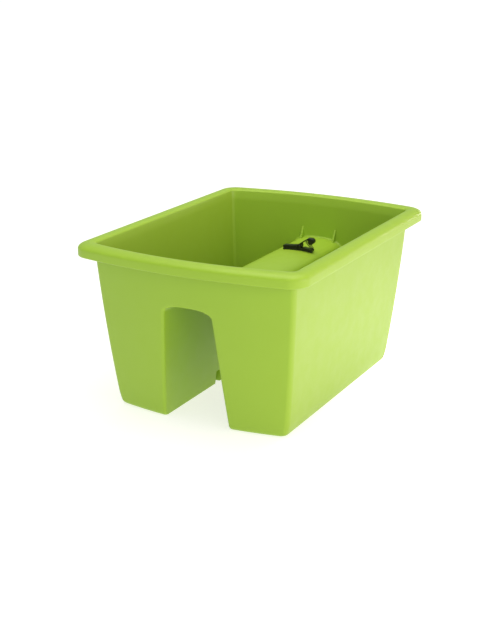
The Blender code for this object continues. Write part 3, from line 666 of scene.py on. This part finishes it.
def make_tube(word, side, mat):
    """Filler tube with a flared mouth, a collar and a notched foot."""
    collar_z = DECK_Z + DECK_THICKNESS + GAP
    flare_z = TUBE_TOP_Z - 0.014
    profile = [
        (TUBE_BORE, TUBE_FOOT_Z),
        (TUBE_RADIUS, TUBE_FOOT_Z),
        (TUBE_RADIUS, collar_z),
        (TUBE_RADIUS + 0.0025, collar_z),
        (TUBE_RADIUS + 0.0025, collar_z + 0.002),
        (TUBE_RADIUS, collar_z + 0.002),
        (TUBE_RADIUS, flare_z),
        (TUBE_MOUTH_RADIUS, flare_z + 0.004),
        (TUBE_MOUTH_RADIUS, TUBE_TOP_Z),
        (TUBE_MOUTH_RADIUS - 0.0015, TUBE_TOP_Z),
        (TUBE_MOUTH_RADIUS - 0.0015, flare_z + 0.004),
        (TUBE_BORE, flare_z),
    ]
    tube = turned(f"tube_{word}", rounded(profile, 0.0006), (side * TUBE_X, TUBE_Y, 0), 96)
    turn = Matrix.Rotation(math.pi / 2, 3, "Y")
    inlet = slot_tool((side * TUBE_X, TUBE_Y, TUBE_FOOT_Z), 0.012, 0.006, 4 * TUBE_RADIUS, turn)
    shape_with(tube, [(inlet, "DIFFERENCE")])
    smooth(tube)
    finish_piece(tube, f"insert_{word}", "insert", mat, f"filler_tube_{word}")


def make_gauge(word, side, foam, red):
    """Float and the gauge rod that stands in its socket."""
    top, socket = FLOAT_FOOT_Z + FLOAT_HEIGHT, ROD_RADIUS + GAP
    profile = [
        (0, top - 0.010),
        (socket, top - 0.010),
        (socket, top),
        (FLOAT_RADIUS, top),
        (FLOAT_RADIUS, FLOAT_FOOT_Z),
        (0, FLOAT_FOOT_Z),
    ]
    bob = turned(f"float_{word}", rounded(profile, 0.0015), (side * TUBE_X, TUBE_Y, 0))
    smooth(bob)
    finish_piece(bob, f"gauge_{word}", "float", foam, f"gauge_float_{word}")
    foot, tip = top - 0.010 + GAP, CAP_TOP_Z - 0.001
    profile = [
        (0, tip),
        (0.0024, tip),
        (0.0024, tip - 0.010),
        (ROD_RADIUS, tip - 0.012),
        (ROD_RADIUS, foot),
        (0, foot),
    ]
    rod = turned(f"rod_{word}", rounded(profile, 0.0010), (side * TUBE_X, TUBE_Y, 0), 48)
    smooth(rod)
    finish_piece(rod, f"gauge_{word}", "gauge", red, f"gauge_rod_{word}")


def make_cap(word, side, mat):
    """Filler cap with finger flutes round its skirt and a hole for the gauge rod."""
    under = TUBE_TOP_Z + GAP
    skirt_in, skirt_out = TUBE_MOUTH_RADIUS + GAP, TUBE_MOUTH_RADIUS + 0.002
    profile = [
        (0.0032, CAP_TOP_Z),
        (skirt_out, CAP_TOP_Z),
        (skirt_out, TUBE_TOP_Z - 0.006),
        (skirt_in, TUBE_TOP_Z - 0.006),
        (skirt_in, under),
        (0.0032, under),
    ]
    cap = turned(f"cap_{word}", rounded(profile, 0.0008), (side * TUBE_X, TUBE_Y, 0), 120)
    tools = []
    for i in range(18):
        angle = math.tau * i / 18
        reach = skirt_out + 0.0012
        x = side * TUBE_X + reach * math.cos(angle)
        y = TUBE_Y + reach * math.sin(angle)
        centre = (x, y, TUBE_TOP_Z - 0.004)
        tools.append((rod_tool(centre, 0.0017, 0.010, (0, 0, 1), 24), "DIFFERENCE"))
    shape_with(cap, tools)
    smooth(cap)
    finish_piece(cap, f"cap_{word}", "insert", mat, f"filler_cap_{word}")


def make_plug(word, side, mat):
    """Rubber drain plug: a dished disc with a ribbed stem."""
    seat = channel_half(DRAIN_Z + DRAIN_FLANGE) + NICHE_DEPTH - GAP
    stem = DRAIN_RADIUS - 2 * GAP
    profile = [
        (0, 0.0013),
        (0.0022, 0.0014),
        (0.0030, 0.0020),
        (DRAIN_FLANGE, 0.0020),
        (DRAIN_FLANGE, 0),
        (stem - 0.0003, 0),
        (stem - 0.0003, -0.0030),
        (stem, -0.0034),
        (stem, -0.0042),
        (stem - 0.0003, -0.0046),
        (stem - 0.0006, -0.0075),
        (0, -0.0075),
    ]
    plug = turned(f"plug_{word}", rounded(profile, 0.0005), (0, 0, 0), 48)
    plug.data.transform(Matrix.Rotation(-side * math.pi / 2, 4, "Y"))
    plug.data.transform(Matrix.Translation((side * seat, NICHE_Y, DRAIN_Z)))
    smooth(plug)
    finish_piece(plug, f"plug_{word}", "plug", mat, f"drain_plug_{word}")


# ------------------------------------------------------------------ spring clip
def rise_point(distance, height):
    """Point beside the upper handle: distance along it, height above its line."""
    cos, sin = math.cos(CLIP_RISE), math.sin(CLIP_RISE)
    return (distance * cos - height * sin, distance * sin + height * cos)


def pivot_rod(radius, half_length, y=0.0):
    return rod_tool((0, y, 0), radius, 2 * half_length, (0, 1, 0), 48)


def block_tool(centre, size):
    bm = bmesh.new()
    bmesh.ops.create_cube(bm, size=1.0)
    bmesh.ops.scale(bm, vec=size, verts=bm.verts)
    bmesh.ops.translate(bm, vec=centre, verts=bm.verts)
    return object_from_bmesh("tool", bm)


def place_clip(obj):
    obj.data.transform(Matrix.Translation(CLIP_PIVOT) @ Matrix.Rotation(CLIP_YAW, 4, "Z"))
    return obj


def make_lower_lever(mat):
    outline = [
        (-CLIP_JAW, -0.0065),
        (-0.0156, -0.0058),
        (0.0024, -0.0057),
        (0.0166, -0.0075),
        (0.0172, -0.0058),
        (0.0174, -0.0038),
        (0.0046, -0.0020),
        (0.0030, -0.0026),
        (-0.0030, -0.0032),
        (-CLIP_JAW, -0.0042),
    ]
    lever = extruded("clip_lower", rounded(outline, 0.0008, 6), CLIP_HALF_WIDTH)
    tools = []
    for side in (-1, 1):
        root_size = (0.0040, 2 * EAR_HALF, 0.0034)
        tools.append((block_tool((0, side * EAR_Y, -0.0021), root_size), "UNION"))
        tools.append((pivot_rod(EAR_RADIUS, EAR_HALF, side * EAR_Y), "UNION"))
    tools.append((pivot_rod(PIN_RADIUS + GAP, 0.01), "DIFFERENCE"))
    bevel(shape_with(lever, tools), 0.00035, 3)
    smooth(place_clip(lever))
    finish_piece(lever, "clip", "clip", mat, "clip_lower_lever")


def make_upper_lever(mat):
    outline = [
        (-CLIP_JAW, -0.0039),
        (-0.0040, -0.0029),
        (-0.0016, -0.0014),
        rise_point(0.0016, 0.0004),
        rise_point(0.0040, 0.0013),
        rise_point(0.0124, 0.0013),
    ]
    for angle in spread(math.radians(165), math.radians(450), 48):
        outline.append((GRIP_X + GRIP_RADIUS * math.cos(angle), GRIP_Z + GRIP_RADIUS * math.sin(angle)))
    outline += [
        rise_point(0.0150, 0.0027),
        rise_point(-0.0015, 0.0027),
        (-0.0045, 0.0004),
        (-CLIP_JAW, -0.0009),
    ]
    lever = extruded("clip_upper", rounded(outline, 0.0006, 5), CLIP_HALF_WIDTH)
    tools = [(pivot_rod(KNUCKLE_RADIUS, EAR_Y), "UNION")]
    for side in (-1, 1):
        relief = pivot_rod(EAR_RADIUS + 2 * GAP, EAR_HALF + 2 * GAP, side * (EAR_Y + GAP))
        tools.append((relief, "DIFFERENCE"))
    corners = [rise_point(0.0038, 0), rise_point(0.0082, 0)]
    corners += [rise_point(0.0082, 0.0040), rise_point(0.0038, 0.0040)]
    tools.append((extruded("tool", corners, 0.0020), "DIFFERENCE"))
    tools.append((pivot_rod(PIN_RADIUS + GAP, 0.01), "DIFFERENCE"))
    bevel(shape_with(lever, tools), 0.00035, 3)
    smooth(place_clip(lever))
    finish_piece(lever, "clip_jaw", "clip", mat, "clip_upper_lever")


def make_pin(mat):
    """Pivot pin with two domed heads."""
    head_y = CLIP_HALF_WIDTH + GAP
    dome = [(0.0018 * math.cos(t), head_y + 0.0009 * math.sin(t)) for t in spread(math.pi / 2, 0, 8)]
    profile = [(0, dome[0][1])] + dome[1:] + [(PIN_RADIUS, head_y)]
    profile += [(r, -z) for r, z in reversed(profile)]
    pin = turned("clip_pin", profile, (0, 0, 0), 48)
    pin.data.transform(Matrix.Rotation(math.pi / 2, 4, "X"))
    smooth(place_clip(pin))
    finish_piece(pin, "clip", "clip_steel", mat, "clip_pivot_pin")


def eased(route, radius, steps=6):
    """Open route with each inner corner replaced by a small curve."""
    points = [route[0]]
    for before, here, after in zip(route, route[1:], route[2:]):
        start = here + (before - here).normalized() * radius
        end = here + (after - here).normalized() * radius
        for t in spread(0, 1, steps):
            points.append(start * (1 - t) ** 2 + here * 2 * t * (1 - t) + end * t ** 2)
    return points + [route[-1]]


def make_wire_spring(mat):
    """Zigzag wire of three legs that holds the two handles apart."""
    (top_x, top_z), (foot_x, foot_z) = WIRE_TOP, WIRE_FOOT
    route = [
        Vector((foot_x, -WIRE_PITCH, foot_z)),
        Vector((top_x, -WIRE_PITCH, top_z)),
        Vector((top_x, 0, top_z)),
        Vector((foot_x, 0, foot_z)),
        Vector((foot_x, WIRE_PITCH, foot_z)),
        Vector((top_x, WIRE_PITCH, top_z)),
    ]
    points = eased(route, 0.0009)
    curve = bpy.data.curves.new("clip_wire", "CURVE")
    curve.dimensions = "3D"
    curve.bevel_depth = WIRE_RADIUS
    curve.bevel_resolution = 5
    curve.use_fill_caps = True
    spline = curve.splines.new("POLY")
    spline.points.add(len(points) - 1)
    for point, co in zip(spline.points, points):
        point.co = (*co, 1)
    wire = bpy.data.objects.new("clip_wire", curve)
    bpy.context.scene.collection.objects.link(wire)
    graph = bpy.context.evaluated_depsgraph_get()
    mesh = bpy.data.meshes.new_from_object(wire.evaluated_get(graph), depsgraph=graph)
    bpy.data.objects.remove(wire)
    spring = bpy.data.objects.new("clip_wire_spring", mesh)
    bpy.context.scene.collection.objects.link(spring)
    smooth(place_clip(spring), 60)
    spring.data.materials.clear()
    spring.data.materials.append(mat)
    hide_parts("clip_spring")
    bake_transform(spring)


# ------------------------------------------------------------------ materials
def new_material(name):
    mat = bpy.data.materials.new(name)
    mat.use_nodes = True
    tree = mat.node_tree
    return mat, tree.nodes["Principled BSDF"], tree


def noise(tree, coords, scale, detail=3.0, roughness=0.5):
    node = tree.nodes.new("ShaderNodeTexNoise")
    node.inputs["Scale"].default_value = scale
    node.inputs["Detail"].default_value = detail
    node.inputs["Roughness"].default_value = roughness
    tree.links.new(coords, node.inputs["Vector"])
    return node.outputs["Fac"]


def mix_colour(tree, factor, first, second):
    node = tree.nodes.new("ShaderNodeMix")
    node.data_type = "RGBA"
    tree.links.new(factor, node.inputs["Factor"])
    for socket, value in ((node.inputs["A"], first), (node.inputs["B"], second)):
        if isinstance(value, bpy.types.NodeSocket):
            tree.links.new(value, socket)
        else:
            socket.default_value = (*value, 1)
    return node.outputs["Result"]


def bump(tree, height, distance, strength, normal=None):
    node = tree.nodes.new("ShaderNodeBump")
    node.inputs["Distance"].default_value = distance
    node.inputs["Strength"].default_value = strength
    tree.links.new(height, node.inputs["Height"])
    if normal:
        tree.links.new(normal, node.inputs["Normal"])
    return node.outputs["Normal"]


def plastic(name, colour, shade, worn, roughness, grain_size=0.0006, grain=0.25, ripple=0.15):
    """Moulded plastic: pigment drift, fine mould grain, faint ripple and rubbed edges."""
    mat, shader, tree = new_material(name)
    coords = tree.nodes.new("ShaderNodeTexCoord").outputs["Object"]
    drift = remap(tree, noise(tree, coords, 9, 4), 0.35, 0.65, 0, 1)
    base = mix_colour(tree, drift, colour, shade)
    pointed = tree.nodes.new("ShaderNodeNewGeometry").outputs["Pointiness"]
    scuffs = remap(tree, noise(tree, coords, 220, 5, 0.7), 0.45, 0.7, 0, 1)
    edge = remap(tree, pointed, 0.515, 0.56, 0, 1)
    rub = tree.nodes.new("ShaderNodeMath")
    rub.operation = "MULTIPLY"
    tree.links.new(scuffs, rub.inputs[0])
    tree.links.new(edge, rub.inputs[1])
    tree.links.new(mix_colour(tree, rub.outputs["Value"], base, worn), shader.inputs["Base Color"])
    cloud = noise(tree, coords, 60, 3)
    shine = remap(tree, cloud, 0.3, 0.7, roughness - 0.04, roughness + 0.05)
    tree.links.new(shine, shader.inputs["Roughness"])
    fine = noise(tree, coords, 1 / grain_size, 2)
    rippled = bump(tree, noise(tree, coords, 45, 2), 0.0004, ripple)
    tree.links.new(bump(tree, fine, grain_size * 0.12, grain, rippled), shader.inputs["Normal"])
    shader.inputs["Specular IOR Level"].default_value = 0.42
    return mat


def steel(name, colour, roughness):
    """Blackened wire: dark metal with drawn streaks."""
    mat, shader, tree = new_material(name)
    coords = tree.nodes.new("ShaderNodeTexCoord").outputs["Object"]
    patches = noise(tree, coords, 700, 4)
    lighter = tuple(c * 1.8 for c in colour)
    tree.links.new(mix_colour(tree, patches, colour, lighter), shader.inputs["Base Color"])
    shine = remap(tree, patches, 0.3, 0.7, roughness - 0.08, roughness + 0.12)
    tree.links.new(shine, shader.inputs["Roughness"])
    shader.inputs["Metallic"].default_value = 1.0
    tree.links.new(bump(tree, noise(tree, coords, 3000, 2), 0.00003, 0.4), shader.inputs["Normal"])
    return mat


# ------------------------------------------------------------------ run
make_camera()
make_studio()
lime = plastic("lime_plastic", (0.325, 0.50, 0.034), (0.318, 0.490, 0.032), (0.36, 0.53, 0.06), 0.42)
grey = plastic("grey_plastic", (0.075, 0.082, 0.085), (0.066, 0.073, 0.076), (0.15, 0.16, 0.16), 0.5)
foam = plastic("white_foam", (0.80, 0.80, 0.76), (0.74, 0.74, 0.69), (0.85, 0.85, 0.82), 0.75, 0.0012, 0.8)
red = plastic("red_plastic", (0.55, 0.035, 0.02), (0.48, 0.03, 0.018), (0.62, 0.12, 0.08), 0.4)
rubber = plastic("green_rubber", (0.10, 0.19, 0.02), (0.085, 0.165, 0.018), (0.16, 0.24, 0.06), 0.7)
black = plastic("black_nylon", (0.008, 0.008, 0.008), (0.006, 0.006, 0.006), (0.03, 0.03, 0.03), 0.32)
wire_steel = steel("black_steel", (0.03, 0.03, 0.03), 0.4)

make_pot(lime)
for word, side in (("left", -1), ("right", 1)):
    make_deck(word, side, grey)
    for place, y in zip(("front", "back"), BASKET_Y):
        make_basket(word, place, side, y, grey)
    make_tube(word, side, grey)
    make_gauge(word, side, foam, red)
    make_cap(word, side, grey)
    make_plug(word, side, rubber)
make_lower_lever(black)
make_upper_lever(black)
make_pin(wire_steel)
make_wire_spring(wire_steel)
